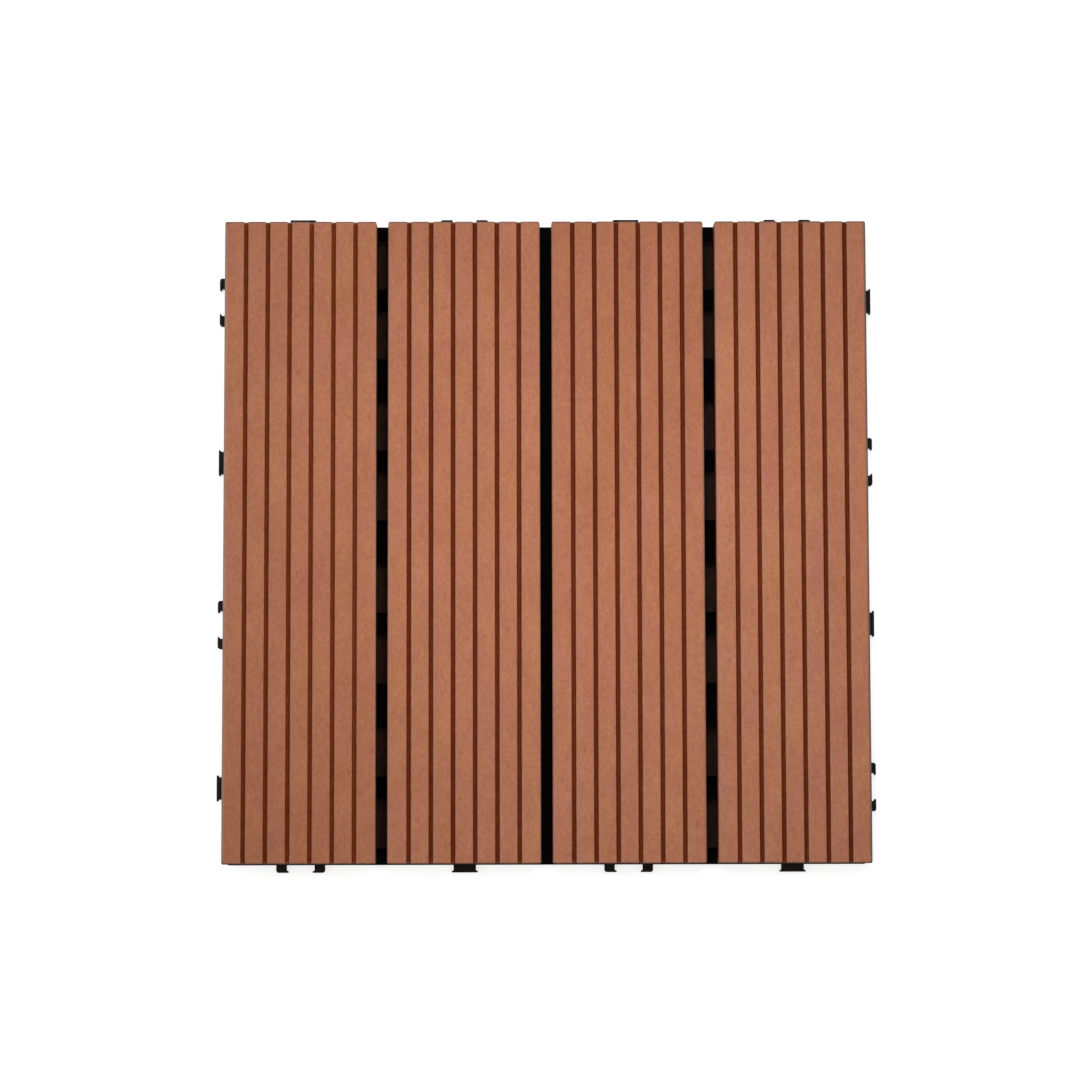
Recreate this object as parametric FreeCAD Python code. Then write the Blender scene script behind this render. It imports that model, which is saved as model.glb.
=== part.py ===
import FreeCAD, Part
import math
import os

os.makedirs("parts", exist_ok=True)

# Interlocking deck tile: four grooved composite slats screwed from below to one moulded plastic base.
# Millimetres. Z is up, the slats run along Y, and the origin is on the ground under the tile's centre.

# Laying grid: one slat across and one connector along each side to every module
module_pitch = 76.2
module_count = 4
joint_gap = 4.8
base_corner_radius = 3.0

# Slats
slat_gap = 5.4
slat_end_inset = 0.5
slat_height = 12.0
slat_top_radius = 1.2
slat_foot_radius = 0.6
groove_count = 6
outer_ridge_width = 8.75
groove_width = 2.2
groove_floor_width = 1.5
groove_depth = 1.8
ridge_radius = 0.4

# Base levels above the ground
foot_height = 1.0
gutter_floor = 3.6
rail_height = 4.8
seat_height = 10.0

# Base walls
cells_per_half_module = 2
rib_thickness = 1.6
gutter_skin = 1.4
skin_thickness = 1.6
rail_step = 0.7
rail_inner_wall = 1.5
pad_slot_width = 10.4
centre_foot_diameter = 13.0

# Connectors
tongue_neck_width = 10.4
tongue_head_width = 12.2
hook_overlap = 1.1
hook_length = 0.6
hook_slope = 0.5
neck_clearance = 0.35
head_clearance = 0.4
prong_width = 4.8
prong_corner = 1.2
tongue_corner = 0.5
connector_root = 1.0

# Screws
screw_diameter = 4.0
screw_grip = 8.5
screw_point = 2.5
pan_diameter = 7.6
pan_height = 2.4
pan_rim = 1.7
pan_bevel = 1.4
cross_width = 1.0
cross_span = 4.4
cross_depth = 1.4
pilot_clearance = 0.1
shank_clearance = 0.2
recess_clearance = 0.4
boss_wall = 1.05
boss_shoulder = 4.5

# Values that follow from the sizes above
laid_pitch = module_pitch * module_count
base_side = laid_pitch - joint_gap
slat_width = module_pitch - slat_gap
slat_length = base_side - 2.0 * slat_end_inset
slat_top = seat_height + slat_height
groove_pitch = (slat_width - 2.0 * outer_ridge_width - groove_width) / (groove_count - 1)
cell_pitch = module_pitch / (2.0 * cells_per_half_module)
cell_clear = cell_pitch - rib_thickness
last_rib = (cells_per_half_module - 0.5) * cell_pitch
deck_half = module_pitch * (module_count - 1) / 2.0 + last_rib + rib_thickness / 2.0
rail_half = base_side / 2.0
rail_inner_half = deck_half + rail_step
gutter_underside = gutter_floor - gutter_skin
pad_outer_end = last_rib - rib_thickness / 2.0
pad_inner_end = pad_slot_width / 2.0
connector_reach = joint_gap / 2.0 + hook_overlap
boss_recess_diameter = pan_diameter + 2.0 * recess_clearance
boss_diameter = boss_recess_diameter + 2.0 * boss_wall
boss_hole_diameter = screw_diameter + 2.0 * shank_clearance
pilot_diameter = screw_diameter + 2.0 * pilot_clearance

# How far a cut runs past the face it opens, and how far a joined piece runs into its neighbour
overrun = 1.0


def module_centres():
    first = -module_pitch * (module_count - 1) / 2.0
    return [first + module_pitch * index for index in range(module_count)]


def gap_lines():
    centres = module_centres()
    return [(low + high) / 2.0 for low, high in zip(centres, centres[1:])]


def pad_lines():
    # Every other gap line carries raised seats; the line through the middle of the tile stays an open gutter
    return [line for line in gap_lines() if abs(line) > cell_pitch]


def box(x_low, x_high, y_low, y_high, z_low, z_high):
    corner = FreeCAD.Vector(x_low, y_low, z_low)
    return Part.makeBox(x_high - x_low, y_high - y_low, z_high - z_low, corner)


def square_cell(x, y, size, z_low, z_high):
    return box(x - size / 2.0, x + size / 2.0, y - size / 2.0, y + size / 2.0, z_low, z_high)


def disc(x, y, diameter, z_low, z_high):
    return Part.makeCylinder(diameter / 2.0, z_high - z_low, FreeCAD.Vector(x, y, z_low))


def quarter_turns(shape):
    # The base looks the same after each quarter turn about the upright axis
    turned = []
    for quarter in range(4):
        copy = shape.copy()
        copy.rotate(FreeCAD.Vector(0, 0, 0), FreeCAD.Vector(0, 0, 1), 90.0 * quarter)
        turned.append(copy)
    return turned


def rounded_outline(points, radii):
    # A closed wire through the points, with each corner rounded to its own radius
    edges = []
    starts = []
    ends = []
    arcs = []
    count = len(points)
    for index, (point, radius) in enumerate(zip(points, radii)):
        corner = FreeCAD.Vector(*point)
        before = FreeCAD.Vector(*points[index - 1]) - corner
        after = FreeCAD.Vector(*points[(index + 1) % count]) - corner
        before.normalize()
        after.normalize()
        if radius <= 0.0:
            starts.append(corner)
            ends.append(corner)
            arcs.append(None)
            continue
        half_angle = before.getAngle(after) / 2.0
        setback = radius / math.tan(half_angle)
        start = corner + before * setback
        end = corner + after * setback
        bisector = before + after
        bisector.normalize()
        centre = corner + bisector * (radius / math.sin(half_angle))
        middle = centre - bisector * radius
        starts.append(start)
        ends.append(end)
        arcs.append(Part.Arc(start, middle, end).toShape())
    for index in range(count):
        if arcs[index] is not None:
            edges.append(arcs[index])
        following = starts[(index + 1) % count]
        if (following - ends[index]).Length > 1e-6:
            edges.append(Part.makeLine(ends[index], following))
    return Part.Wire(edges)


def upright_prism(points, radii, z_low, z_high):
    wire = rounded_outline([(x, y, z_low) for x, y in points], radii)
    return Part.Face(wire).extrude(FreeCAD.Vector(0, 0, z_high - z_low))


def slat_section():
    # Half-rounded long edges and drafted grooves, drawn in the XZ plane about the slat's centre line
    half = slat_width / 2.0
    floor_level = slat_top - groove_depth
    points = [(-half, seat_height), (half, seat_height), (half, slat_top)]
    radii = [slat_foot_radius, slat_foot_radius, slat_top_radius]
    first_groove = groove_pitch * (groove_count - 1) / 2.0
    for index in range(groove_count):
        centre = first_groove - groove_pitch * index
        points += [
            (centre + groove_width / 2.0, slat_top),
            (centre + groove_floor_width / 2.0, floor_level),
            (centre - groove_floor_width / 2.0, floor_level),
            (centre - groove_width / 2.0, slat_top),
        ]
        radii += [ridge_radius, 0.0, 0.0, ridge_radius]
    points.append((-half, slat_top))
    radii.append(slat_top_radius)
    wire = rounded_outline([(x, -slat_length / 2.0, z) for x, z in points], radii)
    return Part.Face(wire)


def screw_places():
    # One screw at the centre of each module
    return [(x, y) for x in module_centres() for y in module_centres()]


def make_slat(x):
    slat = slat_section().extrude(FreeCAD.Vector(0, slat_length, 0))
    slat.translate(FreeCAD.Vector(x, 0, 0))
    pilot_end = seat_height + screw_grip + pilot_clearance
    pilots = [disc(x, y, pilot_diameter, seat_height - overrun, pilot_end) for y in module_centres()]
    return slat.cut(pilots)


def make_screw(x, y):
    # A pan head that seats on the boss's shoulder, a plain shank and a short cone at the tip
    tip = seat_height + screw_grip
    radius = screw_diameter / 2.0
    pan_radius = pan_diameter / 2.0
    pan_face = boss_shoulder - pan_height
    outline = [
        FreeCAD.Vector(0, 0, pan_face),
        FreeCAD.Vector(pan_radius - pan_bevel, 0, pan_face),
        FreeCAD.Vector(pan_radius, 0, boss_shoulder - pan_rim),
        FreeCAD.Vector(pan_radius, 0, boss_shoulder),
        FreeCAD.Vector(radius, 0, boss_shoulder),
        FreeCAD.Vector(radius, 0, tip - screw_point),
        FreeCAD.Vector(radius / 4.0, 0, tip),
        FreeCAD.Vector(0, 0, tip),
    ]
    axis = FreeCAD.Vector(0, 0, 1)
    screw = Part.Face(Part.makePolygon(outline + outline[:1])).revolve(FreeCAD.Vector(0, 0, 0), axis, 360.0)
    # Cross recess in the head, reached from below
    low = pan_face - overrun
    high = pan_face + cross_depth
    half_span = cross_span / 2.0
    half_width = cross_width / 2.0
    across = box(-half_span, half_span, -half_width, half_width, low, high)
    along = box(-half_width, half_width, -half_span, half_span, low, high)
    screw = screw.cut(across.fuse(along))
    screw.translate(FreeCAD.Vector(x, y, 0))
    return screw


def cell_lines():
    # Centre lines of the square cells between ribs, from one side of the deck to the other
    count = 2 * cells_per_half_module * module_count - 1
    first = -cell_pitch * (count - 1) / 2.0
    return [first + cell_pitch * index for index in range(count)]


def on_line(value, lines):
    return any(abs(value - line) < cell_pitch / 4.0 for line in lines)


def rail_and_deck():
    half = rail_half
    corners = [(-half, -half), (half, -half), (half, half), (-half, half)]
    rail = upright_prism(corners, [base_corner_radius] * 4, foot_height, rail_height)
    deck = box(-deck_half, deck_half, -deck_half, deck_half, rail_height, seat_height)
    return rail.fuse(deck)


def gutter_cuts():
    # Gutters under the slat gaps, and the same gutters crosswise, open at the top and closed below
    cuts = []
    for line in gap_lines():
        low = line - cell_clear / 2.0
        high = line + cell_clear / 2.0
        reach = rail_inner_half
        cuts.append(box(low, high, -reach, reach, gutter_floor, seat_height + overrun))
        cuts.append(box(-reach, reach, low, high, gutter_floor, seat_height + overrun))
    return cuts


def pad_shape():
    # The outer block of one raised seat beside a module centre, drawn on a gutter that runs along Y
    half = cell_clear / 2.0
    return box(-half, half, pad_inner_end, pad_outer_end, gutter_underside, seat_height)


def pad_hollow():
    half = cell_clear / 2.0
    inner = pad_inner_end + skin_thickness
    outer = pad_outer_end - skin_thickness
    return box(-half, half, inner, outer, 0.0, seat_height - skin_thickness)


def place_pads(shape):
    # Two to each module centre on the pad lines, both along Y and crosswise
    placed = []
    for line in pad_lines():
        for centre in module_centres():
            for flip in (0.0, 180.0):
                along = shape.copy()
                along.rotate(FreeCAD.Vector(0, 0, 0), FreeCAD.Vector(0, 0, 1), flip)
                along.translate(FreeCAD.Vector(line, centre, 0))
                across = along.copy()
                across.rotate(FreeCAD.Vector(0, 0, 0), FreeCAD.Vector(0, 0, 1), 90.0)
                placed += [along, across]
    return placed


def under_pad(x, y):
    # True where a cell lies wholly or partly under a raised seat
    for line in pad_lines():
        for centre in module_centres():
            for a, b in ((x, y), (y, x)):
                offset = abs(b - centre)
                if abs(a - line) < cell_pitch / 4.0 and cell_pitch / 2.0 < offset < last_rib:
                    return True
    return False


def cell_cuts():
    # Open drain cells under the slats, and shallow blind cells under the gutters
    lines = cell_lines()
    gaps = gap_lines()
    cuts = []
    for x in lines:
        for y in lines:
            on_x = on_line(x, gaps)
            on_y = on_line(y, gaps)
            if on_x and on_y:
                cuts.append(square_cell(x, y, cell_clear, 0.0, gutter_underside))
            elif not on_x and not on_y:
                cuts.append(square_cell(x, y, cell_clear, 0.0, seat_height + overrun))
            elif not under_pad(x, y):
                slot = min(cell_clear, pad_slot_width)
                on_pad_line = on_line(x, pad_lines()) or on_line(y, pad_lines())
                size = slot if on_pad_line else cell_clear
                if on_x:
                    half_x, half_y = cell_clear / 2.0, size / 2.0
                else:
                    half_x, half_y = size / 2.0, cell_clear / 2.0
                cuts.append(box(x - half_x, x + half_x, y - half_y, y + half_y, 0.0, gutter_underside))
    return cuts


def rail_cuts():
    # Blind cells under the rail, left solid at the gap lines where the rail stands on feet
    low = deck_half + rail_inner_wall
    high = rail_half - skin_thickness
    ceiling = rail_height - skin_thickness
    cuts = []
    for y in cell_lines():
        if on_line(y, gap_lines()):
            continue
        cell = box(low, high, y - cell_clear / 2.0, y + cell_clear / 2.0, 0.0, ceiling)
        cuts += quarter_turns(cell)
    return cuts


def rail_feet():
    feet = []
    for line in gap_lines():
        low = line - cell_clear / 2.0
        high = line + cell_clear / 2.0
        feet += quarter_turns(box(deck_half, rail_half, low, high, 0.0, foot_height + overrun))
    corner_low = rail_inner_half - base_corner_radius
    corners = [(corner_low, corner_low), (rail_half, corner_low), (rail_half, rail_half), (corner_low, rail_half)]
    corner = upright_prism(corners, [0.0, 0.0, base_corner_radius, 0.0], 0.0, foot_height + overrun)
    return feet + quarter_turns(corner)


def centre_feet():
    # Round feet under the crossings of the gutters
    feet = []
    for x in gap_lines():
        for y in gap_lines():
            feet.append(disc(x, y, centre_foot_diameter, 0.0, gutter_underside))
    return feet


def screw_boss(x, y):
    # A round post held by four webs in the middle cell of a module
    half = cell_clear / 2.0
    web = rib_thickness / 2.0
    post = disc(x, y, boss_diameter, foot_height, seat_height)
    across = box(x - half, x + half, y - web, y + web, foot_height, seat_height)
    along = box(x - web, x + web, y - half, y + half, foot_height, seat_height)
    recess = disc(x, y, boss_recess_diameter, 0.0, boss_shoulder)
    hole = disc(x, y, boss_hole_diameter, 0.0, seat_height + overrun)
    return post.fuse([across, along]).cut([recess, hole])


def tongue():
    # A short neck that widens to a dovetail head, pointing along +X from the right side of the base
    neck = tongue_neck_width / 2.0
    head = tongue_head_width / 2.0
    tip = rail_half + connector_reach
    root = rail_half - connector_root
    widest = tip - hook_length
    points = [(root, -neck), (widest - hook_slope, -neck), (widest, -head), (tip, -head)]
    points += [(x, -y) for x, y in reversed(points)]
    radii = [0.0, 0.0, 0.0, tongue_corner, tongue_corner, 0.0, 0.0, 0.0]
    return upright_prism(points, radii, foot_height, rail_height)


def fork():
    # Two prongs with inward toes that close behind a neighbouring tile's dovetail head
    inner = tongue_head_width / 2.0 + head_clearance
    toe = tongue_neck_width / 2.0 + neck_clearance
    outer = inner + prong_width
    tip = rail_half + connector_reach
    root = rail_half - connector_root
    toe_start = tip - hook_length
    points = [(root, inner), (toe_start - hook_slope, inner), (toe_start, toe), (tip, toe)]
    points += [(tip, outer), (root, outer)]
    points = list(reversed(points))
    radii = [0.0, prong_corner, tongue_corner, 0.0, 0.0, 0.0]
    prong = upright_prism(points, radii, foot_height, rail_height)
    return [prong, prong.mirror(FreeCAD.Vector(0, 0, 0), FreeCAD.Vector(0, 1, 0))]


def connectors():
    # Tongue and fork by turns along a side, the same on each side after a quarter turn
    placed = []
    for index, centre in enumerate(reversed(module_centres())):
        kind = [tongue()] if index % 2 == 0 else fork()
        for shape in kind:
            shape.translate(FreeCAD.Vector(0, centre, 0))
            placed += quarter_turns(shape)
    return placed


def make_base():
    base = rail_and_deck().cut(gutter_cuts())
    base = base.fuse(place_pads(pad_shape()))
    base = base.cut(place_pads(pad_hollow()) + cell_cuts() + rail_cuts())
    bosses = [screw_boss(x, y) for x, y in screw_places()]
    base = base.fuse(bosses + rail_feet() + centre_feet() + connectors())
    return base.removeSplitter()


def single_solid(shape, name):
    if len(shape.Solids) != 1:
        raise ValueError(name + " should be one solid, not " + str(len(shape.Solids)))
    return shape.Solids[0]


def export(shape, name):
    shape.exportStep("parts/" + name + ".step")
    print(name, len(shape.Solids), "solids", round(shape.Volume), "mm3")


export(single_solid(make_base(), "base_grid"), "base_grid")
for index, x in enumerate(module_centres()):
    name = "slat_" + str(index + 1)
    export(single_solid(make_slat(x), name), name)
screws = [make_screw(x, y) for x, y in screw_places()]
export(Part.makeCompound(screws), "slat_screws")
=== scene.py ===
import math
import bmesh
import bpy
import numpy as np
from mathutils import Euler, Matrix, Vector


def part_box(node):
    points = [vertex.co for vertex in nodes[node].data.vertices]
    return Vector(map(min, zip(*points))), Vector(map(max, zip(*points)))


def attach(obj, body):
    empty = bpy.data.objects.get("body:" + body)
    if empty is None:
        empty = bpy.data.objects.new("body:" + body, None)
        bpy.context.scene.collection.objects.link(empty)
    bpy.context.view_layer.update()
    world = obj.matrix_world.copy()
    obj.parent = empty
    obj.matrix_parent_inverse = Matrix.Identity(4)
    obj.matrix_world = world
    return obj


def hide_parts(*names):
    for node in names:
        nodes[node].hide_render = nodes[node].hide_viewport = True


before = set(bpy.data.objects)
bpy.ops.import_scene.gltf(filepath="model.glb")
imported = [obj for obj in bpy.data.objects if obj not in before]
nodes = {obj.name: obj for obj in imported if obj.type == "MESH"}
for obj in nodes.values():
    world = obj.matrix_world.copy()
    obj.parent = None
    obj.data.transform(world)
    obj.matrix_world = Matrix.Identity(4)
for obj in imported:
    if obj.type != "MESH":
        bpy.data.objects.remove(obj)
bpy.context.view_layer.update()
millimetre = 0.001
# Slat boxes in millimetres: one for each slat from the left, then its low and high corner
slatNames = sorted(name for name in nodes if name.startswith("slat_") and name != "slat_screws")
slatBoxes = np.array([[tuple(corner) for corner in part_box(name)] for name in slatNames]) / millimetre
modulePitch = slatBoxes[1, 0, 0] - slatBoxes[0, 0, 0]
outerMiddle = slatBoxes[-1, :, 0].mean()  # across the tile, the middle of the last slat
slatReach = slatBoxes[-1, 1, 1]  # along the tile, the slats' ends
frameHalf = slatReach + 1.0  # just past those ends
print("frame loaded:", sorted(nodes))


# Camera: nearly straight above, a little towards the near edge of the tile, in metres and degrees
camera = {
    "place": (-0.0133, -0.1385, 1.5229),
    "tilt": 5.267,
    "roll": 0.138,
    "yaw": 0.397,
    "focalPixels": 3253,
    "framePixels": 1080,
    "sensor": 36.0,
    "clip": (0.05, 20.0),
}


def makeCamera(size):
    data = bpy.data.cameras.new("camera")
    data.sensor_width = size["sensor"]
    data.lens = size["sensor"] * size["focalPixels"] / size["framePixels"]
    data.clip_start, data.clip_end = size["clip"]
    body = bpy.data.objects.new("camera", data)
    bpy.context.scene.collection.objects.link(body)
    body.location = size["place"]
    body.rotation_mode = "ZXY"
    turn = [math.radians(angle) for angle in (size["tilt"], -size["yaw"], -size["roll"])]
    body.rotation_euler = Euler(turn, "ZXY")
    bpy.context.scene.camera = body


makeCamera(camera)
print("camera placed")


# Node helpers, used by the lights, the floor and every finish
def addNode(tree, kind, inputs=None, **settings):
    node = tree.nodes.new(kind)
    for name, value in settings.items():
        setattr(node, name, value)
    for name, value in (inputs or {}).items():
        if isinstance(value, bpy.types.NodeSocket):
            tree.links.new(value, node.inputs[name])
        else:
            node.inputs[name].default_value = value
    return node


def blendColours(tree, mask, first, second, mode="MIX"):
    # first where the mask is 0, second where it is 1; either may be a colour or a socket. A Mix node set to
    # colours takes its factor at input 0, its colours at 6 and 7, and gives the blend at output 2
    node = addNode(tree, "ShaderNodeMix", data_type="RGBA", blend_type=mode)
    for index, value in ((0, mask), (6, first), (7, second)):
        if isinstance(value, bpy.types.NodeSocket):
            tree.links.new(value, node.inputs[index])
        else:
            node.inputs[index].default_value = value if index == 0 else (*value, 1.0)
    return node.outputs[2]


def calculate(tree, operation, first, second=0.0):
    node = addNode(tree, "ShaderNodeMath", operation=operation, inputs={0: first, 1: second})
    return node.outputs[0]


def multiply(tree, first, *others):
    for other in others:
        first = calculate(tree, "MULTIPLY", first, other)
    return first


def ramp(tree, value, low, high, start=0.0, end=1.0):
    # A straight rise from start to end while the value goes from low to high
    limits = {"Value": value, "From Min": low, "From Max": high, "To Min": start, "To Max": end}
    return addNode(tree, "ShaderNodeMapRange", inputs=limits, clamp=True).outputs["Result"]


def millimetres(tree, stretch=(1.0, 1.0, 1.0), shift=(0.0, 0.0, 0.0)):
    # Object coordinates in millimetres, times a stretch: small values draw a pattern out along that axis
    place = addNode(tree, "ShaderNodeTexCoord").outputs["Object"]
    scale = tuple(share / millimetre for share in stretch)
    values = {"Vector": place, "Scale": scale, "Location": shift}
    return addNode(tree, "ShaderNodeMapping", inputs=values).outputs[0]


def noise(tree, scale=1.0, detail=3.0, roughness=0.55, **place):
    # place may hold a stretch and a shift
    values = {"Scale": scale, "Detail": detail, "Roughness": roughness, "Vector": millimetres(tree, **place)}
    return addNode(tree, "ShaderNodeTexNoise", inputs=values).outputs["Fac"]


def patches(tree, span, **texture):
    # Noise sent through a ramp: span holds its low and high, then its start and end if not 0 and 1
    return ramp(tree, noise(tree, **texture), *span)


def axes(tree, vector):
    return addNode(tree, "ShaderNodeSeparateXYZ", inputs={0: vector}).outputs


def painted(tree, name):
    # A value that the mesh holds for each of its points
    return addNode(tree, "ShaderNodeAttribute", attribute_name=name).outputs["Fac"]


# Light: an even white surround, a large soft box low on the left, which catches the left-hand edges, and
# a lamp close above the middle, so that the tile's middle is brightest and its corners fall off.
# Sizes and places are in metres, powers in watts
light = {
    "surround": 0.34,
    "boxPower": 2.4,
    "boxSize": 0.9,
    "boxPlace": (-0.85, 0.15, 0.95),
    "lampPower": 0.635,
    "lampSize": 0.26,
    "lampPlace": (0.024, 0.042, 0.310),
}


def makeSoftBox(name, place, size, power):
    data = bpy.data.lights.new(name, "AREA")
    data.shape = "SQUARE"
    data.size = size
    data.energy = power
    body = bpy.data.objects.new(name, data)
    bpy.context.scene.collection.objects.link(body)
    body.location = place
    body.rotation_euler = (-Vector(place)).to_track_quat("-Z", "Y").to_euler()


def makeSurround(strength):
    # The camera sees plain white; everything else is lit at the given strength
    world = bpy.data.worlds.new("surround")
    bpy.context.scene.world = world
    world.use_nodes = True
    tree = world.node_tree
    tree.nodes.clear()
    white = (1.0, 1.0, 1.0, 1.0)
    lit = addNode(tree, "ShaderNodeBackground", inputs={"Color": white, "Strength": strength})
    seen = addNode(tree, "ShaderNodeBackground", inputs={"Color": white, "Strength": 1.0})
    path = addNode(tree, "ShaderNodeLightPath")
    mix = addNode(tree, "ShaderNodeMixShader", inputs={0: path.outputs["Is Camera Ray"]})
    tree.links.new(lit.outputs[0], mix.inputs[1])
    tree.links.new(seen.outputs[0], mix.inputs[2])
    addNode(tree, "ShaderNodeOutputWorld", inputs={"Surface": mix.outputs[0]})


makeSurround(light["surround"])
makeSoftBox("softBox", light["boxPlace"], light["boxSize"], light["boxPower"])
makeSoftBox("nearLamp", light["lampPlace"], light["lampSize"], light["lampPower"])
bpy.context.scene.view_settings.view_transform = "Standard"
print("lights placed")


# Meshes from whole arrays
weldReach = 1e-6  # metres


def meshFromFaces(name, points, faces, smooth):
    # points in millimetres; faces index them; smooth holds one value for each face
    mesh = bpy.data.meshes.new(name)
    mesh.from_pydata((points * millimetre).tolist(), [], faces)
    mesh.polygons.foreach_set("use_smooth", smooth)
    mesh.update()
    return mesh


def paint(mesh, name, values):
    mesh.attributes.new(name, "FLOAT", "POINT").data.foreach_set("value", values.astype(np.float32))


def weld(mesh):
    work = bmesh.new()
    work.from_mesh(mesh)
    bmesh.ops.remove_doubles(work, verts=work.verts, dist=weldReach)
    work.to_mesh(mesh)
    work.free()


def addPiece(name, mesh, finish, slotName, *replaced):
    body = bpy.data.objects.new(name, mesh)
    bpy.context.scene.collection.objects.link(body)
    mesh.materials.append(finish)
    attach(body, "root")
    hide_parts(*replaced)
    return body


def gridFaces(rows, columns, start=0, wrap=False):
    # Quads between neighbouring rows and columns of a grid; wrap joins the last column to the first
    across = np.arange(columns if wrap else columns - 1)
    along = np.arange(rows - 1)[:, None]
    following = (across + 1) % columns
    low = along * columns
    high = low + columns
    quads = np.stack([low + across, low + following, high + following, high + across], -1)
    return quads.reshape(-1, 4) + start


def roundCorners(points, radii, steps):
    # Each inner point of an open line becomes an arc tangent to its two sides: the arc's centre lies on
    # the bisector, radius / sin(half the corner) away, and the arc turns through pi less the corner
    corner = points[1:-1]
    before = points[:-2] - corner
    after = points[2:] - corner
    before /= np.linalg.norm(before, axis=1, keepdims=True)
    after /= np.linalg.norm(after, axis=1, keepdims=True)
    half = np.arccos(np.clip((before * after).sum(1), -1.0, 1.0)) / 2.0
    bisector = before + after
    bisector /= np.linalg.norm(bisector, axis=1, keepdims=True)
    centre = corner + bisector * (radii / np.sin(half))[:, None]
    start = corner + before * (radii / np.tan(half))[:, None] - centre
    side = np.sign(before[:, 0] * after[:, 1] - before[:, 1] * after[:, 0])
    sweep = -side * (math.pi - 2.0 * half)
    angle = np.arctan2(start[:, 1], start[:, 0])[:, None] + sweep[:, None] * np.linspace(0.0, 1.0, steps)
    arcs = centre[:, None] + radii[:, None, None] * np.stack([np.cos(angle), np.sin(angle)], -1)
    return np.vstack([points[:1], arcs.reshape(-1, 2), points[-1:]])


def fillLine(line, longest, closest):
    # Adds points to an open line at every longest step along it, unless one stands closer than the closest
    reach = np.r_[0.0, np.cumsum(np.linalg.norm(np.diff(line, axis=0), axis=1))]
    extra = np.arange(longest, reach[-1], longest)
    extra = extra[np.abs(extra[:, None] - reach).min(1) > closest]
    reached = np.sort(np.r_[reach, extra])
    return np.stack([np.interp(reached, reach, line[:, 0]), np.interp(reached, reach, line[:, 1])], -1)


# Slats: grooved composite boards, one rounded section carried along the length and closed by sawn ends.
# Lengths are in millimetres. tones, skinTones, drifts and the painted sheen's shares hold one value for
# each slat, from the left
slat = {
    "grooves": 6,
    "outerRidge": 8.75,
    "grooveWidth": 2.2,
    "grooveFloor": 1.5,
    "grooveDepth": 1.8,
    "shoulderRadius": 0.4,
    "floorRadius": 0.25,
    "topRadius": 1.1,
    "footRadius": 0.6,
    "arcSteps": 6,
    "longestStep": 0.9,
    "closestStep": 0.315,
    "stations": 112,
    "endRadius": 0.45,
    "endSteps": 5,
    "planRadius": 0.8,
    "sideRows": 9,
    "waveLengths": (120.0, 14.0),
    "waves": 7,
    "waveSlant": 0.9,
    "dip": 0.05,
    "wander": 0.025,
    "wanderStretch": (3.0, 2.0),
    "wanderSeed": 20,
    "straightSide": 1.5,
    "brushedEdge": (1.10, 0.70),
    "brushedGroove": (0.62, 0.22),
    "rimSpan": (0.45, 1.0, 2.0),
    "rimShares": (1.0, 0.45, 0.0),
    "rimDepths": (0.95, 1.50),
    "innerRim": 0.4,
    # Rim of painted shade at the sawn ends: its share where the rounding starts, and later the depths of its
    # fade
    "endShadeRim": 0.55,
    "endFade": 0.9,
    "endShadeDepths": (1.9, 2.6),
    "tones": (0.978, 0.998, 0.972, 1.018),
    "skinTones": (1.34, 1.05, 1.02, 1.08),
    "drifts": (0.030, -0.010, -0.045, -0.010),
    "sheenShares": (0.26, 0.40, 0.42, 0.55),
    "sheenSpan": (0.85, 1.40, 3.60),
}


def grooveLines(size, half):
    # The distance from groove to groove, and the middle of each groove across the slat
    pitch = (2.0 * half - 2.0 * size["outerRidge"] - size["grooveWidth"]) / (size["grooves"] - 1)
    return pitch, pitch * (np.arange(size["grooves"]) - (size["grooves"] - 1) / 2.0)


def slatTop(size, half, top):
    # The upper half of the section, from side to side: ridges, drafted grooves and rounded edges
    centres = grooveLines(size, half)[1]
    mouth = size["grooveWidth"] / 2.0
    floor = size["grooveFloor"] / 2.0
    offsets = np.array([-mouth, -floor, floor, mouth])
    levels = np.array([0.0, -size["grooveDepth"], -size["grooveDepth"], 0.0]) + top
    grooves = np.stack([(centres[:, None] + offsets).ravel(), np.tile(levels, size["grooves"])], -1)
    low = top - 2.0 * size["topRadius"]
    line = np.vstack([[(-half, low), (-half, top)], grooves, [(half, top), (half, low)]])
    groove = [size["shoulderRadius"], size["floorRadius"], size["floorRadius"], size["shoulderRadius"]]
    radii = np.r_[size["topRadius"], np.tile(groove, size["grooves"]), size["topRadius"]]
    arcs = roundCorners(line, radii, size["arcSteps"])[1:-1]
    return fillLine(arcs, size["longestStep"], size["closestStep"])


def wallShares(size):
    # Shares of the height at which rows stand, crowded towards both ends: (1 - cosine of an even sweep) / 2
    return 0.5 - 0.5 * np.cos(np.linspace(0.0, math.pi, size["sideRows"] + 2))


def slatLoop(size, half, bottom, top):
    # The closed section, clockwise seen along +Y: over the top, down the right side, back below and up the
    # left side. The foot rises by r - sqrt(r r - e e), where e is r less the distance from the side
    upper = slatTop(size, half, top)
    edge = np.clip(size["footRadius"] - (half - np.abs(upper[:, 0])), 0.0, None)
    foot = bottom + size["footRadius"] - np.sqrt(size["footRadius"] ** 2 - edge ** 2)
    lower = np.stack([upper[:, 0], foot], -1)
    share = wallShares(size)[1:-1, None]
    right = upper[-1] + share * (lower[-1] - upper[-1])
    left = lower[0] + share * (upper[0] - lower[0])
    return np.vstack([upper, right, lower[::-1], left]), len(upper)


def inwardNormals(loop):
    # The mean direction of the sides before and after each point, turned a quarter towards the inside
    ahead = np.roll(loop, -1, 0) - loop
    behind = loop - np.roll(loop, 1, 0)
    ahead /= np.linalg.norm(ahead, axis=1, keepdims=True)
    behind /= np.linalg.norm(behind, axis=1, keepdims=True)
    tangent = ahead + behind
    tangent /= np.linalg.norm(tangent, axis=1, keepdims=True)
    return np.stack([tangent[:, 1], -tangent[:, 0]], -1)


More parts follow.
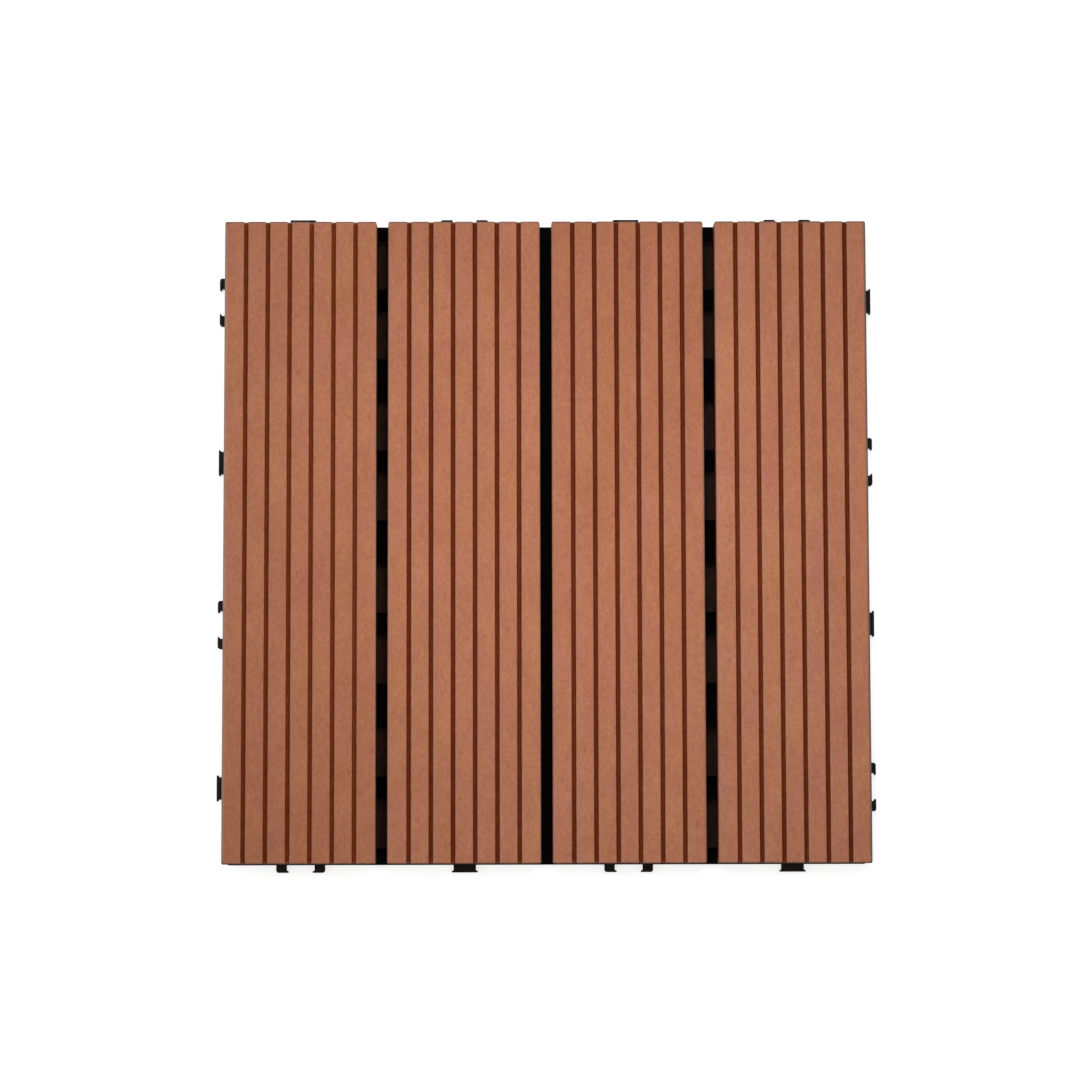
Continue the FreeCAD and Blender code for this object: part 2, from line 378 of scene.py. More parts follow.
def roam(size, x, y, seed):
    # A smooth field between about -1 and 1: sine waves of falling length at seeded slants, added together
    draw = np.random.default_rng(seed)
    total = np.zeros(np.broadcast(x, y).shape)
    for length in np.geomspace(*size["waveLengths"], size["waves"]):
        slant, phase = draw.uniform(-size["waveSlant"], size["waveSlant"]), draw.uniform(0.0, 2.0 * math.pi)
        total += np.sin(2.0 * math.pi * (y + slant * x) / length + phase)
    return total / math.sqrt(size["waves"] * 2.0)


def slatStations(size, reach):
    # Where rings stand along Y, how far each steps inwards, and its share of the rim's painted shade at the
    # ends. At each end the rings step inwards by r (1 - sin a) while they step back by r (1 - cos a)
    angle = np.linspace(0.0, math.pi / 2.0, size["endSteps"])
    back = 1.0 - np.cos(angle)
    inset = size["endRadius"] * (1.0 - np.sin(angle))
    place = reach - size["endRadius"] * back
    rim = 1.0 - (1.0 - size["endShadeRim"]) * back
    fade = place[-1] - size["endFade"]
    inner = np.linspace(-fade, fade, size["stations"])
    none = np.zeros(len(inner))
    return np.r_[-place, inner, place[::-1]], np.r_[inset, none, inset[::-1]], np.r_[rim, none, rim[::-1]]


def slatSurface(size, loop, station, stepIn, box, seed):
    # The section's ring at every station. Towards an end its sides fall back by R - sqrt(R R - c c), where
    # c is R less the distance from the side. The top dips a little and the groove walls wander
    low, high = box
    normal = inwardNormals(loop)
    ring = loop + normal * stepIn[:, None, None]
    fromSide = (high[0] - low[0]) / 2.0 - np.abs(ring[..., 0])
    radius = size["planRadius"]
    corner = np.clip(radius - fromSide, 0.0, radius)
    fallBack = radius - np.sqrt(radius ** 2 - corner ** 2)
    x = ring[..., 0] + (low[0] + high[0]) / 2.0
    y = station[:, None] * (high[1] - fallBack) / high[1]
    raised = np.clip((ring[..., 1] - low[2]) / (high[2] - low[2]), 0.0, 1.0)
    sunk = 0.5 + 0.5 * np.clip(roam(size, x, y, seed), -1.0, 1.0)
    z = ring[..., 1] - raised * size["dip"] * sunk
    # steep is 0 on faces that look straight up and 1 on walls
    steep = np.clip(2.0 + 2.0 * normal[:, 1], 0.0, 1.0)
    across, along = size["wanderStretch"]
    wander = size["wander"] * roam(size, x * across, y * along, seed + size["wanderSeed"])
    x = x + wander * steep * (fromSide > size["straightSide"])
    return np.stack([x, y, z], -1)


def slatCap(ring, count, size):
    # Straight columns between the ring's underside and its top, level at the sides
    upper = ring[:count]
    side = size["sideRows"]
    lower = ring[count + side:2 * count + side][::-1]
    share = wallShares(size)[:, None, None]
    return lower + share * (upper - lower)


def slatWear(size, loop, station, endShadeRim, box, index):
    # Values for every point of the rings: brushed share, rim of wear with painted light and shade, painted
    # sheen and tone
    low, high = box
    half = (high[0] - low[0]) / 2.0
    centre = (low[0] + high[0]) / 2.0
    depth = high[2] - loop[:, 1]
    fromSide = half - np.abs(loop[:, 0])
    kinds = ("tones", "skinTones", "drifts", "sheenShares")
    ridgeTone, skinTone, drift, dustAndSheen = (size[kind][index] for kind in kinds)
    # Brushed share: 1 on the ridges, falling to 0 a little way down their edges, and later at the sides
    outside = fromSide < size["topRadius"]
    least, most = (np.where(outside, a, b) for a, b in zip(size["brushedEdge"], size["brushedGroove"]))
    brushed = np.clip((least - depth) / (least - most), 0.0, 1.0)
    # Rim, worn and coloured with painted light and shade: full on the tile's two outer edges, weaker beside
    # the gaps, fading up the rounded ends
    wearAndShade = np.interp(fromSide, size["rimSpan"], size["rimShares"])
    wearAndShade = wearAndShade * np.interp(depth, size["rimDepths"], (1.0, 0.0))
    facesGap = np.abs(loop[:, 0] + centre) < frameHalf - 2.0 * size["topRadius"]
    wearAndShade = np.where(facesGap, size["innerRim"] * wearAndShade, wearAndShade)
    # At the ends the rim is painted shade
    rim = np.maximum(wearAndShade, endShadeRim[:, None] * np.interp(depth, size["endShadeDepths"], (1.0, 0.0)))
    # Painted sheen: a little pale grey painted on the left of each ridge, thinning out towards its middle
    pitch, centres = grooveLines(size, half)
    filmAndSheen = dustAndSheen * np.interp((loop[:, 0] - centres[0]) % pitch, size["sheenSpan"], (0.0, 1.0, 0.0))
    filmAndSheen = filmAndSheen * np.interp(depth, size["rimDepths"], (1.0, 0.0))
    # Tone: one for the slat's ridges and one for its skin, both drifting along Y
    tone = skinTone + (ridgeTone - skinTone) * brushed
    tone = tone * (1.0 + drift * station[:, None] / high[1])
    return brushed, rim, filmAndSheen, tone


def slatMesh(name, size, box, index):
    low, high = box
    loop, count = slatLoop(size, (high[0] - low[0]) / 2.0, low[2], high[2])
    station, stepIn, endShadeRim = slatStations(size, high[1])
    points = slatSurface(size, loop, station, stepIn, box, index + 1)
    rows, columns = points.shape[:2]
    sides = gridFaces(rows, columns, wrap=True)[:, ::-1]
    caps = [slatCap(points[0], count, size), slatCap(points[-1], count, size)]
    capRows = caps[0].shape[0]
    first = gridFaces(capRows, count, rows * columns)
    second = gridFaces(capRows, count, rows * columns + capRows * count)[:, ::-1]
    allPoints = np.vstack([grid.reshape(-1, 3) for grid in (points, *caps)])
    faces = np.vstack([sides, first, second])
    smooth = np.r_[np.ones(len(sides), bool), np.zeros(len(first) + len(second), bool)]
    mesh = meshFromFaces(name, allPoints, faces.tolist(), smooth)
    # Each value on the rings and on the sawn ends, which keep a thin line of skin all round
    brushed, rim, filmAndSheen, tone = slatWear(size, loop, station, endShadeRim, box, index)
    bare = np.zeros((capRows, count))
    sawn = bare.copy()
    sawn[1:-1, 2:-2] = 1.0
    values = {
        "sawnCore": (0.0, sawn),
        "brushed": (brushed, wallShares(size)[:, None] * brushed[:count]),
        "rimWearAndShade": (rim, bare),
        "filmAndSheen": (filmAndSheen, bare),
        "tone": (tone, bare + size["tones"][index]),
    }
    for kind, (onRings, onEnds) in values.items():
        onRings = np.broadcast_to(onRings, (rows, columns)).ravel()
        paint(mesh, kind, np.r_[onRings, onEnds.ravel(), onEnds.ravel()])
    weld(mesh)
    return mesh


# Base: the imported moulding, welded, its triangles paired, and its edges broken by a small bevel, in
# millimetres and degrees
moulding = {"flatAngle": 0.5, "anyShape": 180.0, "bevelWidth": 0.22, "bevelSteps": 2, "bevelAngle": 35.0}


def mouldedMesh(source, size):
    work = bmesh.new()
    work.from_mesh(source.data)
    bmesh.ops.remove_doubles(work, verts=work.verts, dist=weldReach)
    flat = math.radians(size["flatAngle"])
    shape = math.radians(size["anyShape"])
    bmesh.ops.join_triangles(work, faces=work.faces, angle_face_threshold=flat, angle_shape_threshold=shape)
    for face in work.faces:
        face.smooth = True
    mesh = bpy.data.meshes.new("mouldedBase")
    work.to_mesh(mesh)
    work.free()
    return mesh


def breakEdges(body, size):
    bevel = body.modifiers.new("brokenEdges", "BEVEL")
    bevel.width = size["bevelWidth"] * millimetre
    bevel.segments = size["bevelSteps"]
    bevel.limit_method = "ANGLE"
    bevel.angle_limit = math.radians(size["bevelAngle"])
    bevel.use_clamp_overlap = False
    bevel.loop_slide = False
    bevel.harden_normals = True


# Screws: pan heads with a cross recess, and threaded shanks. crossSides and crossEnds are shares of half
# the cross's width and span, between which its walls rise. bluntness is the share left at the shank's tip
screw = {
    "headDiameter": 7.6,
    "headHeight": 2.4,
    "rim": 0.75,
    "domePower": 2.6,
    "shoulder": 4.5,
    "crossWidth": 1.1,
    "crossSpan": 4.4,
    "crossDepth": 1.4,
    "crossSides": (0.75, 1.35),
    "crossEnds": (0.45, 1.05),
    "gridLines": (0.0, 0.09, 0.17, 0.25, 0.4, 0.55, 0.64, 0.74, 0.87, 1.0),
    "threadDiameter": 4.0,
    "coreDiameter": 2.8,
    "threadPitch": 1.6,
    "crestShare": 0.25,
    "tip": 18.5,
    "point": 3.0,
    "bluntness": 0.04,
    "rooted": 0.2,
    "turnSteps": 24,
    "pitchSteps": 8,
}


def softStep(value, low, high):
    # s s (3 - 2 s), where s is the value's share of the way from low to high
    share = np.clip((value - low) / (high - low), 0.0, 1.0)
    return share * share * (3.0 - 2.0 * share)


def headGrid(size):
    # A square grid pressed into a disc, x = u sqrt(1 - v v / 2) and y alike. The dome stands out by the
    # square root of (1 - distance to a power), and the two arms of the cross are sunk into it
    lines = np.array(size["gridLines"])
    lines = np.r_[-lines[:0:-1], lines]
    u, v = np.meshgrid(lines, lines)
    radius = size["headDiameter"] / 2.0
    x = radius * u * np.sqrt(1.0 - v * v / 2.0)
    y = radius * v * np.sqrt(1.0 - u * u / 2.0)
    distance = np.hypot(x, y) / radius
    dome = np.sqrt(np.clip(1.0 - distance ** size["domePower"], 0.0, 1.0))
    level = size["shoulder"] - size["rim"] - (size["headHeight"] - size["rim"]) * dome
    sides = [share * size["crossWidth"] / 2.0 for share in size["crossSides"]]
    ends = [share * size["crossSpan"] / 2.0 for share in size["crossEnds"]]
    outside = [(softStep(np.abs(a), *sides), softStep(np.abs(b), *ends)) for a, b in ((x, y), (y, x))]
    arms = [(1.0 - beside) * (1.0 - beyond) for beside, beyond in outside]
    return np.stack([x, y, level + size["crossDepth"] * np.maximum(*arms)], -1)


def screwHead(size):
    # The sunk grid below and a flat copy of it at the shoulder, joined round the rim
    grid = headGrid(size)
    flat = grid.copy()
    flat[..., 2] = size["shoulder"]
    lines = grid.shape[0]
    square = np.arange(lines * lines).reshape(lines, lines)
    rim = np.r_[square[0, :-1], square[:-1, -1], square[-1, :0:-1], square[:0:-1, 0]]
    above = rim + lines * lines
    walls = np.stack([rim, np.roll(rim, -1), np.roll(above, -1), above], -1)
    quads = [gridFaces(lines, lines)[:, ::-1], gridFaces(lines, lines, lines * lines), walls]
    return np.vstack([grid.reshape(-1, 3), flat.reshape(-1, 3)]), np.vstack(quads)


def screwShank(size):
    # Radius = (core + thread depth * a saw of (height / pitch - turn)) * the taper towards the point
    length = size["tip"] - size["shoulder"]
    count = int(length / size["threadPitch"] * size["pitchSteps"])
    height = np.linspace(0.0, length, count)[:, None]
    turn = np.linspace(0.0, 2.0 * math.pi, size["turnSteps"], endpoint=False)
    phase = (height / size["threadPitch"] - turn / (2.0 * math.pi)) % 1.0
    crest = np.clip(1.0 - np.abs(phase - 0.5) / size["crestShare"], 0.0, 1.0)
    core = size["coreDiameter"] / 2.0
    depth = (size["threadDiameter"] - size["coreDiameter"]) / 2.0
    taper = np.clip((length - height) / size["point"], size["bluntness"], 1.0)
    radius = (core + depth * crest) * taper
    level = np.broadcast_to(size["shoulder"] - size["rooted"] + height, radius.shape)
    return np.stack([radius * np.cos(turn), radius * np.sin(turn), level], -1)


def screwMesh(size, places):
    # One head and one shank, which a face closes at each end, repeated at every place
    head, quads = screwHead(size)
    shank = screwShank(size)
    count, turns = shank.shape[:2]
    points = np.vstack([head, shank.reshape(-1, 3)])
    quads = np.vstack([quads, gridFaces(count, turns, len(head), wrap=True)])
    ring = len(head) + np.arange(turns)
    caps = [ring[::-1].tolist(), (ring + (count - 1) * turns).tolist()]
    shift = np.column_stack([places, np.zeros(len(places))])
    everyPoint = (points + shift[:, None]).reshape(-1, 3)
    starts = np.arange(len(places)) * len(points)
    faces = (quads + starts[:, None, None]).reshape(-1, 4).tolist()
    faces += [[index + start for index in cap] for start in starts.tolist() for cap in caps]
    return meshFromFaces("screws", everyPoint, faces, np.ones(len(faces), bool))


# Finishes
def startGroup(name, inputs, outputs):
    group = bpy.data.node_groups.new(name, "ShaderNodeTree")
    for socket, value in inputs.items():
        made = group.interface.new_socket(socket, in_out="INPUT", socket_type="NodeSocketFloat")
        made.default_value = value
    for socket in outputs:
        group.interface.new_socket(socket, in_out="OUTPUT", socket_type="NodeSocketFloat")
    inside = group.nodes.new("NodeGroupInput")
    outside = group.nodes.new("NodeGroupOutput")
    return group, inside.outputs, outside.inputs


def threeSockets(group, x, y, z):
    return addNode(group, "ShaderNodeCombineXYZ", inputs={0: x, 1: y, 2: z}).outputs[0]


def stretchedPlace(group, given):
    # Object coordinates in millimetres, times the group's own stretch across and along the slats
    stretch = threeSockets(group, given["Across"], given["Along"], given["Across"])
    values = {0: millimetres(group), 1: stretch}
    return addNode(group, "ShaderNodeVectorMath", operation="MULTIPLY", inputs=values).outputs[0]


# Distances from a cell's middle at which a speck starts to fade and where it ends
speckFade = (0.12, 0.34)


def makeSpeckGroup():
    # Sparse round or drawn-out specks: cells whose random value is high, shown near their centres
    inputs = {"Across": 1.0, "Along": 1.0, "Share": 0.1, "Seed": 0.0}
    group, given, result = startGroup("specks", inputs, ["Mask"])
    seed = given["Seed"]
    values = {0: stretchedPlace(group, given), 1: threeSockets(group, seed, seed, seed)}
    moved = addNode(group, "ShaderNodeVectorMath", operation="ADD", inputs=values).outputs[0]
    cells = addNode(group, "ShaderNodeTexVoronoi", inputs={"Vector": moved, "Scale": 1.0})
    chance = addNode(group, "ShaderNodeSeparateColor", inputs={"Color": cells.outputs["Color"]}).outputs[0]
    chosen = calculate(group, "GREATER_THAN", chance, calculate(group, "SUBTRACT", 1.0, given["Share"]))
    near = ramp(group, cells.outputs["Distance"], *speckFade, 1.0, 0.0)
    group.links.new(multiply(group, chosen, near), result["Mask"])
    return group


def makeLineGroup():
    # Fine lines drawn out along the slats, from fibres and the brush that roughened them
    inputs = {"Across": 3.0, "Along": 0.05, "Detail": 4.0, "Roughness": 0.6}
    group, given, result = startGroup("drawnLines", inputs, ["Lines"])
    values = {"Vector": stretchedPlace(group, given), "Scale": 1.0}
    values.update({name: given[name] for name in ("Detail", "Roughness")})
    lines = addNode(group, "ShaderNodeTexNoise", inputs=values)
    group.links.new(lines.outputs["Fac"], result["Lines"])
    return group


specks = makeSpeckGroup()
drawnLines = makeLineGroup()


def useGroup(tree, group, output, **inputs):
    node = tree.nodes.new("ShaderNodeGroup")
    node.node_tree = group
    for name, value in inputs.items():
        node.inputs[name].default_value = value
    return node.outputs[output]


def startFinish(name):
    finish = bpy.data.materials.new(name)
    finish.use_nodes = True
    tree = finish.node_tree
    return finish, tree, tree.nodes["Principled BSDF"]


def addRelief(tree, shader, height, size):
    values = {"Height": height, "Strength": size["reliefStrength"], "Distance": size["relief"]}
    tree.links.new(addNode(tree, "ShaderNodeBump", inputs=values).outputs[0], shader.inputs["Normal"])


# Composite: colours first, then its patterns and how strongly each one shows. brightness holds the low and
# high of each texture's ramp and the share by which it darkens or brightens. endSpan is in millimetres from
# the slats' ends, and relief in metres
composite = {
    "ridgeWarm": (0.482, 0.1915, 0.0900),
    "ridgePink": (0.467, 0.1715, 0.1100),
    "ridgeDull": (0.420, 0.1640, 0.0910),
    "skin": (0.190, 0.0278, 0.0036),
    "skinDark": (0.118, 0.0182, 0.0022),
    # A pale grey for the painted sheen on the left of each ridge
    "filmAndSheen": (0.405, 0.198, 0.132),
    # Rim colours: a painted highlight on the left, painted shade on the right, and darker painted shade at
    # both ends
    "rimPaintedLit": (0.455, 0.274, 0.206),
    "rimPaintedShade": (0.225, 0.136, 0.104),
    "rimNearEndShadow": (0.080, 0.046, 0.034),
    "rimFarEndShade": (0.180, 0.110, 0.088),
    "core": (0.335, 0.128, 0.066),
    "coreFleck": (0.455, 0.225, 0.135),
    "paleSpeck": (0.640, 0.400, 0.290),
    "darkSpeck": (0.160, 0.060, 0.035),
    "ragged": {"span": (0.3, 0.7, -0.2, 0.2), "scale": 1.2, "stretch": (1.0, 0.12, 1.0)},
    "ridgeSpan": (0.25, 0.75),
    "pinkDrift": {
        "span": (0.4, 0.6),
        "scale": 0.05,
        "detail": 6.0,
        "roughness": 1.0,
        "stretch": (1.0, 0.4, 1.0),
    },
    "dullBlotches": {
        "span": (0.5, 0.75, 0.0, 0.6),
        "scale": 0.12,
        "detail": 4.0,
        "roughness": 0.8,
        "stretch": (1.0, 0.5, 1.0),
        "shift": (40.0, 9.0, 0.0),
    },
    "paleSpecks": {"Across": 0.8, "Along": 0.6, "Share": 0.010, "Seed": 3.0},
    "paleStrength": 0.5,
    "darkSpecks": {"Across": 0.45, "Along": 0.20, "Share": 0.035, "Seed": 17.0},
    "darkStrength": 0.30,
    "skinLines": {"Across": 0.8, "Along": 0.3, "Detail": 4.0},
    "skinSpan": (0.3, 0.7),
    "rimRagged": 0.5,
    "rimSpan": (0.15, 0.85),
    "endSpan": (1.2, 0.4),
    "coreSpan": (0.3, 0.6),
    "flour": {"span": (0.4, 0.66), "scale": 2.2, "detail": 5.0, "roughness": 0.7},
    "mottle": {
        "scale": 0.04,
        "detail": 6.0,
        "roughness": 0.95,
        "stretch": (1.0, 0.6, 1.0),
        "shift": (7.0, 3.0, 0.0),
    },
    "grain": {"scale": 0.8, "detail": 2.0, "roughness": 0.6, "stretch": (1.0, 0.7, 1.0)},
    "fibre": {"Across": 2.6, "Along": 0.06},
    "brightness": {"mottle": (0.35, 0.65, 0.075), "grain": (0.3, 0.7, 0.076), "fibre": (0.3, 0.7, 0.03)},
    "greenPower": 1.5,
    "bluePower": 2.0,
    "roughSpan": (0.25, 0.75, 0.54, 0.72),
    "ridgeRough": 0.12,
    "gloss": 0.08,
    "brushLines": {"Across": 5.0, "Along": 0.11, "Detail": 5.0},
    "sawMarks": {"stretch": (0.35, 0.35, 2.6)},
    "skinRelief": 0.3,
    "reliefStrength": 0.35,
    "relief": 0.0001,
}


def ridgeFace(tree, size):
    # Drifts of hue at every scale and a few specks of filler
    face = blendColours(tree, patches(tree, **size["pinkDrift"]), size["ridgeWarm"], size["ridgePink"])
    face = blendColours(tree, patches(tree, **size["dullBlotches"]), face, size["ridgeDull"])
    pale = useGroup(tree, specks, "Mask", **size["paleSpecks"])
    dark = useGroup(tree, specks, "Mask", **size["darkSpecks"])
    face = blendColours(tree, multiply(tree, pale, size["paleStrength"]), face, size["paleSpeck"])
    return blendColours(tree, multiply(tree, dark, size["darkStrength"]), face, size["darkSpeck"])


def rimColour(tree, size):
    # Painted light and shade: lighter towards the left of the tile, darker towards the right, darkest at
    # both ends
    place = axes(tree, millimetres(tree))
    shadedRight = ramp(tree, place["X"], -outerMiddle, outerMiddle)
    rim = blendColours(tree, shadedRight, size["rimPaintedLit"], size["rimPaintedShade"])
    farEnd = calculate(tree, "GREATER_THAN", place["Y"], 0.0)
    ends = blendColours(tree, farEnd, size["rimNearEndShadow"], size["rimFarEndShade"])
    limits = (slatReach - distance for distance in size["endSpan"])
    atEnd = ramp(tree, calculate(tree, "ABSOLUTE", place["Y"]), *limits)
    return blendColours(tree, atEnd, rim, ends)


def makeComposite(size):
    # Pale brushed ridges, a darker extruded skin in the grooves and on the sides, and a grainy sawn core
    finish, tree, shader = startFinish("brushedComposite")
    ragged = patches(tree, **size["ragged"])
    ridge = ramp(tree, calculate(tree, "ADD", painted(tree, "brushed"), ragged), *size["ridgeSpan"])
    # Skin: drawn-out extrusion marks
    drawn = ramp(tree, useGroup(tree, drawnLines, "Lines", **size["skinLines"]), *size["skinSpan"])
    skin = blendColours(tree, drawn, size["skin"], size["skinDark"])
    colour = blendColours(tree, ridge, skin, ridgeFace(tree, size))
    # A pale grey painted sheen on the left of each ridge
    colour = blendColours(tree, painted(tree, "filmAndSheen"), colour, size["filmAndSheen"])
    # Worn rims with ragged borders, painted light on the left and painted shade on the right and at the ends
    wearAndShade = calculate(tree, "ADD", painted(tree, "rimWearAndShade"), multiply(tree, ragged, size["rimRagged"]))
    colour = blendColours(tree, ramp(tree, wearAndShade, *size["rimSpan"]), colour, rimColour(tree, size))
    # Sawn ends: flour-grained core inside a thin line of skin
    sawn = ramp(tree, painted(tree, "sawnCore"), *size["coreSpan"])
    core = blendColours(tree, patches(tree, **size["flour"]), size["core"], size["coreFleck"])
    colour = blendColours(tree, sawn, colour, core)
    # Brightness: the slat's own tone, times broad mottling, millimetre grain and faint lengthwise fibre.
    # Paler spots are greyer too, so green and blue take the factor to a power
    fibre = useGroup(tree, drawnLines, "Lines", **size["fibre"])
    grain = noise(tree, **size["grain"])
    textures = {"mottle": noise(tree, **size["mottle"]), "grain": grain, "fibre": fibre}
    bright = painted(tree, "tone")
    for name, (low, high, share) in size["brightness"].items():
        bright = multiply(tree, bright, ramp(tree, textures[name], low, high, 1.0 - share, 1.0 + share))
    green = calculate(tree, "POWER", bright, size["greenPower"])
    blue = calculate(tree, "POWER", bright, size["bluePower"])
    shade = addNode(tree, "ShaderNodeCombineColor", inputs={0: bright, 1: green, 2: blue}).outputs[0]
    tree.links.new(blendColours(tree, 1.0, colour, shade, "MULTIPLY"), shader.inputs["Base Color"])
    rough = ramp(tree, fibre, *size["roughSpan"])
    rough = calculate(tree, "ADD", rough, multiply(tree, ridge, size["ridgeRough"]))
    tree.links.new(rough, shader.inputs["Roughness"])
    shader.inputs["Specular IOR Level"].default_value = size["gloss"]
    # Relief: brush lines on the ridges, faint draw lines on the skin, saw marks at the ends. A Mix node set
    # to values takes them at inputs 2 and 3
    lines = calculate(tree, "ADD", useGroup(tree, drawnLines, "Lines", **size["brushLines"]), grain)
    lines = multiply(tree, lines, ramp(tree, ridge, 0.0, 1.0, size["skinRelief"], 1.0))
    blend = {0: sawn, 2: lines, 3: noise(tree, **size["sawMarks"])}
    relief = addNode(tree, "ShaderNodeMix", data_type="FLOAT", inputs=blend).outputs[0]
    addRelief(tree, shader, relief, size)
    return finish


# Plastic: lengths and levels in millimetres, relief in metres
plastic = {
    "colour": (0.0215, 0.0195, 0.0188),
    "rubbed": (0.0300, 0.0270, 0.0260),
    # Painted shade for the gutters under the gaps, then painted reddish light, bounced from the slats, for
    # the seats
    "gutterShade": (0.0036, 0.0020, 0.0018),
    "seat": (0.0375, 0.0170, 0.0112),
    "dustAndSheen": (0.070, 0.036, 0.022),
    "flow": {"span": (0.35, 0.7), "detail": 4.0, "stretch": (0.05, 0.05, 0.05)},
    "upward": (0.7, 0.95),
    "gapReach": (5.0, 9.0),
    "gutterShadeLevels": (5.2, 8.5),
    "seatLevels": (9.6, 9.9),
    "seatSpan": (5.2, 27.8),
    "seatFade": 3.5,
    "seatWave": {"span": (0.3, 0.7, -1.2, 1.2), "scale": 0.4},
    "lightPatches": {"span": (0.3, 0.7, 0.5, 1.0), "detail": 4.0, "stretch": (0.5, 0.12, 0.5)},
    "grit": {"Across": 1.6, "Along": 1.6, "Share": 0.06, "Seed": 5.0},
    "gritStrength": 0.4,
    "rough": (0.62, 0.50),
    "matt": 0.45,
    "gloss": 0.12,
    "texture": {"scale": 3.0, "detail": 4.0, "roughness": 0.7},
    "reliefStrength": 0.3,
    "relief": 0.00006,
}


def fadeAlongSeats(tree, along, size):
    # 1 where a seat carries painted light, falling to 0 over its last few millimetres towards the far end,
    # as painted shade. along is the distance past the module's middle; one seat ends before it and one after
    # it
    nearEnd, farEnd = size["seatSpan"]
    reach = size["seatFade"]
    before = ramp(tree, along, -nearEnd - reach, -nearEnd, 1.0, 0.0)
    after = ramp(tree, along, farEnd - reach, farEnd, 1.0, 0.0)
    after = multiply(tree, after, calculate(tree, "GREATER_THAN", along, 0.0))
    return calculate(tree, "MAXIMUM", before, after)


def makePlastic(size):
    # Fine spark-eroded texture and slow flow marks; the seats under the gaps carry painted reddish light,
    # bounced from the slats, and the gutters below them are painted darker as shade
    finish, tree, shader = startFinish("mouldedBlackPlastic")
    flow = patches(tree, **size["flow"])
    colour = blendColours(tree, flow, size["colour"], size["rubbed"])
    place = axes(tree, millimetres(tree))
    normal = axes(tree, addNode(tree, "ShaderNodeNewGeometry").outputs["Normal"])
    up = ramp(tree, normal["Z"], *size["upward"])
    # Gutters: low faces near the lines where two slats meet, as far as the slats' ends, painted darker as
    # shade
    fromLine = calculate(tree, "PINGPONG", place["X"], modulePitch / 2.0)
    near = ramp(tree, fromLine, *size["gapReach"], 1.0, 0.0)
    withinSides = calculate(tree, "LESS_THAN", calculate(tree, "ABSOLUTE", place["X"]), outerMiddle)
    withinEnds = calculate(tree, "LESS_THAN", calculate(tree, "ABSOLUTE", place["Y"]), frameHalf)
    gap = multiply(tree, near, withinSides, withinEnds, up)
    gutterShade = multiply(tree, gap, ramp(tree, place["Z"], *size["gutterShadeLevels"], 1.0, 0.0))
    colour = blendColours(tree, gutterShade, colour, size["gutterShade"])
    # Seats: painted reddish light for most of their length, painted shade at their far ends
    past = calculate(tree, "ADD", place["Y"], patches(tree, **size["seatWave"]))
    past = calculate(tree, "FLOORED_MODULO", past, modulePitch)
    lit = fadeAlongSeats(tree, calculate(tree, "SUBTRACT", past, modulePitch / 2.0), size)
    seat = multiply(tree, gap, ramp(tree, place["Z"], *size["seatLevels"]))
    paintedBounce = multiply(tree, lit, patches(tree, **size["lightPatches"]))
    paintedBounce = blendColours(tree, paintedBounce, size["gutterShade"], size["seat"])
    colour = blendColours(tree, seat, colour, paintedBounce)
    grit = useGroup(tree, specks, "Mask", **size["grit"])
    lying = multiply(tree, grit, up, calculate(tree, "SUBTRACT", 1.0, gutterShade), size["gritStrength"])
    colour = blendColours(tree, lying, colour, size["dustAndSheen"])
    tree.links.new(colour, shader.inputs["Base Color"])
    rough = ramp(tree, flow, 0.0, 1.0, *size["rough"])
    rough = calculate(tree, "ADD", rough, multiply(tree, gap, size["matt"]))
    tree.links.new(rough, shader.inputs["Roughness"])
    shader.inputs["Specular IOR Level"].default_value = size["gloss"]
    addRelief(tree, shader, noise(tree, **size["texture"]), size)
    return finish


steel = {
    "bright": (0.62, 0.61, 0.59),
    "dull": (0.40, 0.39, 0.38),
    "filmAndSheen": {"span": (0.35, 0.7), "scale": 0.6, "detail": 4.0},
    "scratches": {"detail": 4.0, "roughness": 0.7, "stretch": (6.0, 0.8, 3.0)},
    "roughSpan": (0.3, 0.7, 0.22, 0.42),
    "reliefStrength": 0.2,
    "relief": 0.00005,
}


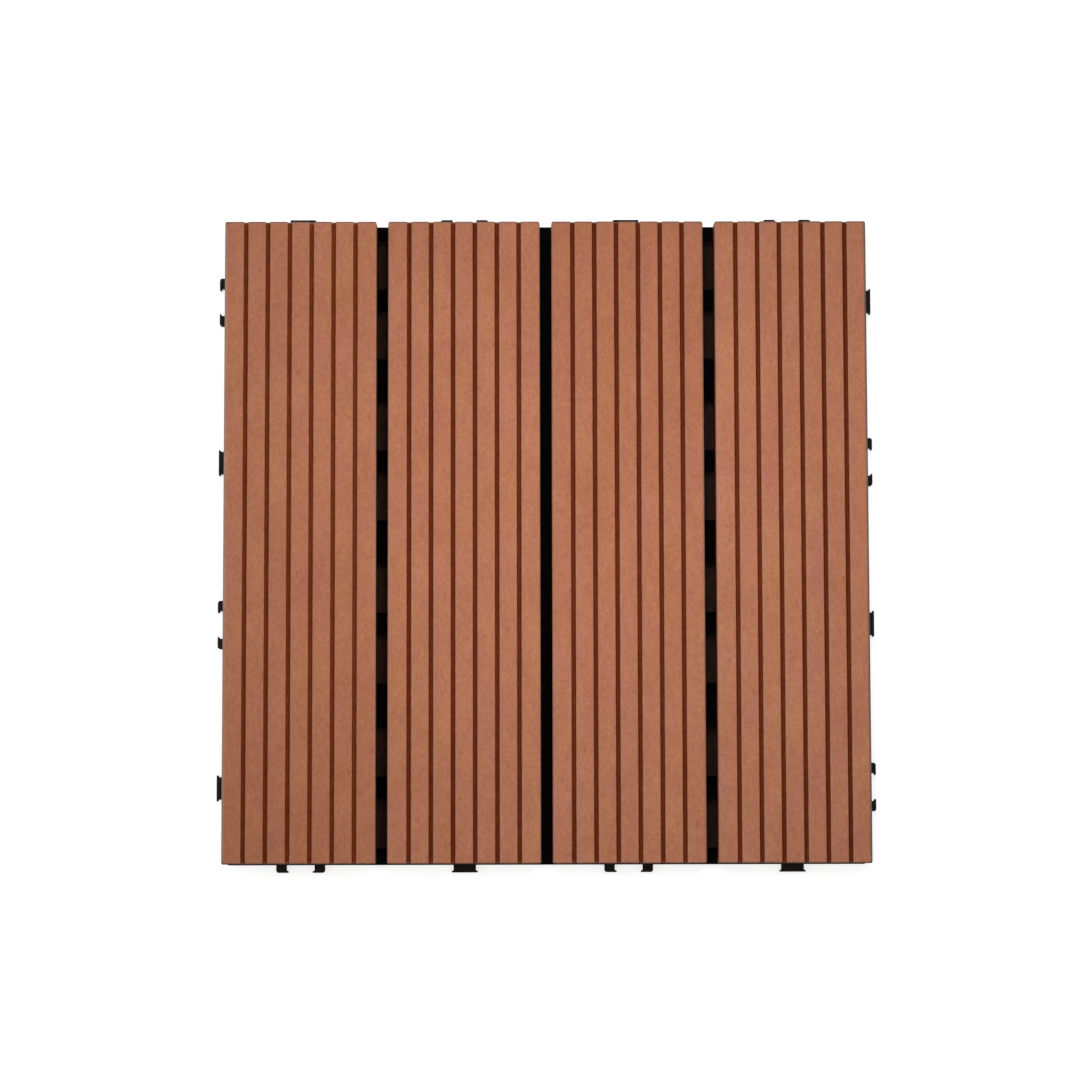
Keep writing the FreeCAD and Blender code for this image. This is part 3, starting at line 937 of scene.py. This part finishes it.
def makeSteel(size):
    # Cold-headed stainless steel with fine scratches and a dull film in patches
    finish, tree, shader = startFinish("stainlessSteel")
    colour = blendColours(tree, patches(tree, **size["filmAndSheen"]), size["bright"], size["dull"])
    scratches = noise(tree, **size["scratches"])
    tree.links.new(colour, shader.inputs["Base Color"])
    shader.inputs["Metallic"].default_value = 1.0
    tree.links.new(ramp(tree, scratches, *size["roughSpan"]), shader.inputs["Roughness"])
    addRelief(tree, shader, scratches, size)
    return finish


brushedComposite = makeComposite(composite)
blackPlastic = makePlastic(plastic)
stainlessSteel = makeSteel(steel)
print("finishes made")

for index, name in enumerate(slatNames):
    mesh = slatMesh("compositeSlat", slat, slatBoxes[index], index)
    addPiece("compositeSlat" + str(index + 1), mesh, brushedComposite, "wood_plastic_composite", name)
print("slats laid:", len(slatNames))

mesh = mouldedMesh(nodes["base_grid"], moulding)
base = addPiece("mouldedBase", mesh, blackPlastic, "black_plastic", "base_grid")
breakEdges(base, moulding)
print("base moulded")

# A screw stands in the middle of every module, so the slats' middles serve both ways
moduleLines = slatBoxes[:, :, 0].mean(1)
places = np.stack(np.meshgrid(moduleLines, moduleLines), -1).reshape(-1, 2)
addPiece("steelScrews", screwMesh(screw, places), stainlessSteel, "screw_steel", "slat_screws")
print("screws driven:", len(places))


# Floor: a plain pale sheet that keeps the tile's shadow. Its side is in metres
floor = {"side": 12.0, "colour": (0.86, 0.86, 0.86, 1.0), "roughness": 0.9, "glow": 0.72}


def makeFloor(size):
    half = size["side"] / 2.0 / millimetre
    corners = np.array([(-half, -half, 0.0), (half, -half, 0.0), (half, half, 0.0), (-half, half, 0.0)])
    body = bpy.data.objects.new("floor", meshFromFaces("floor", corners, [(0, 1, 2, 3)], [False]))
    bpy.context.scene.collection.objects.link(body)
    paper, tree, shader = startFinish("paleFloor")
    path = addNode(tree, "ShaderNodeLightPath")
    seen = calculate(tree, "MAXIMUM", path.outputs["Is Camera Ray"], path.outputs["Is Glossy Ray"])
    shader.inputs["Base Color"].default_value = size["colour"]
    shader.inputs["Roughness"].default_value = size["roughness"]
    shader.inputs["Specular IOR Level"].default_value = 0.0
    shader.inputs["Emission Color"].default_value = (1.0, 1.0, 1.0, 1.0)
    tree.links.new(multiply(tree, seen, size["glow"]), shader.inputs["Emission Strength"])
    body.data.materials.append(paper)


makeFloor(floor)
print("floor laid")
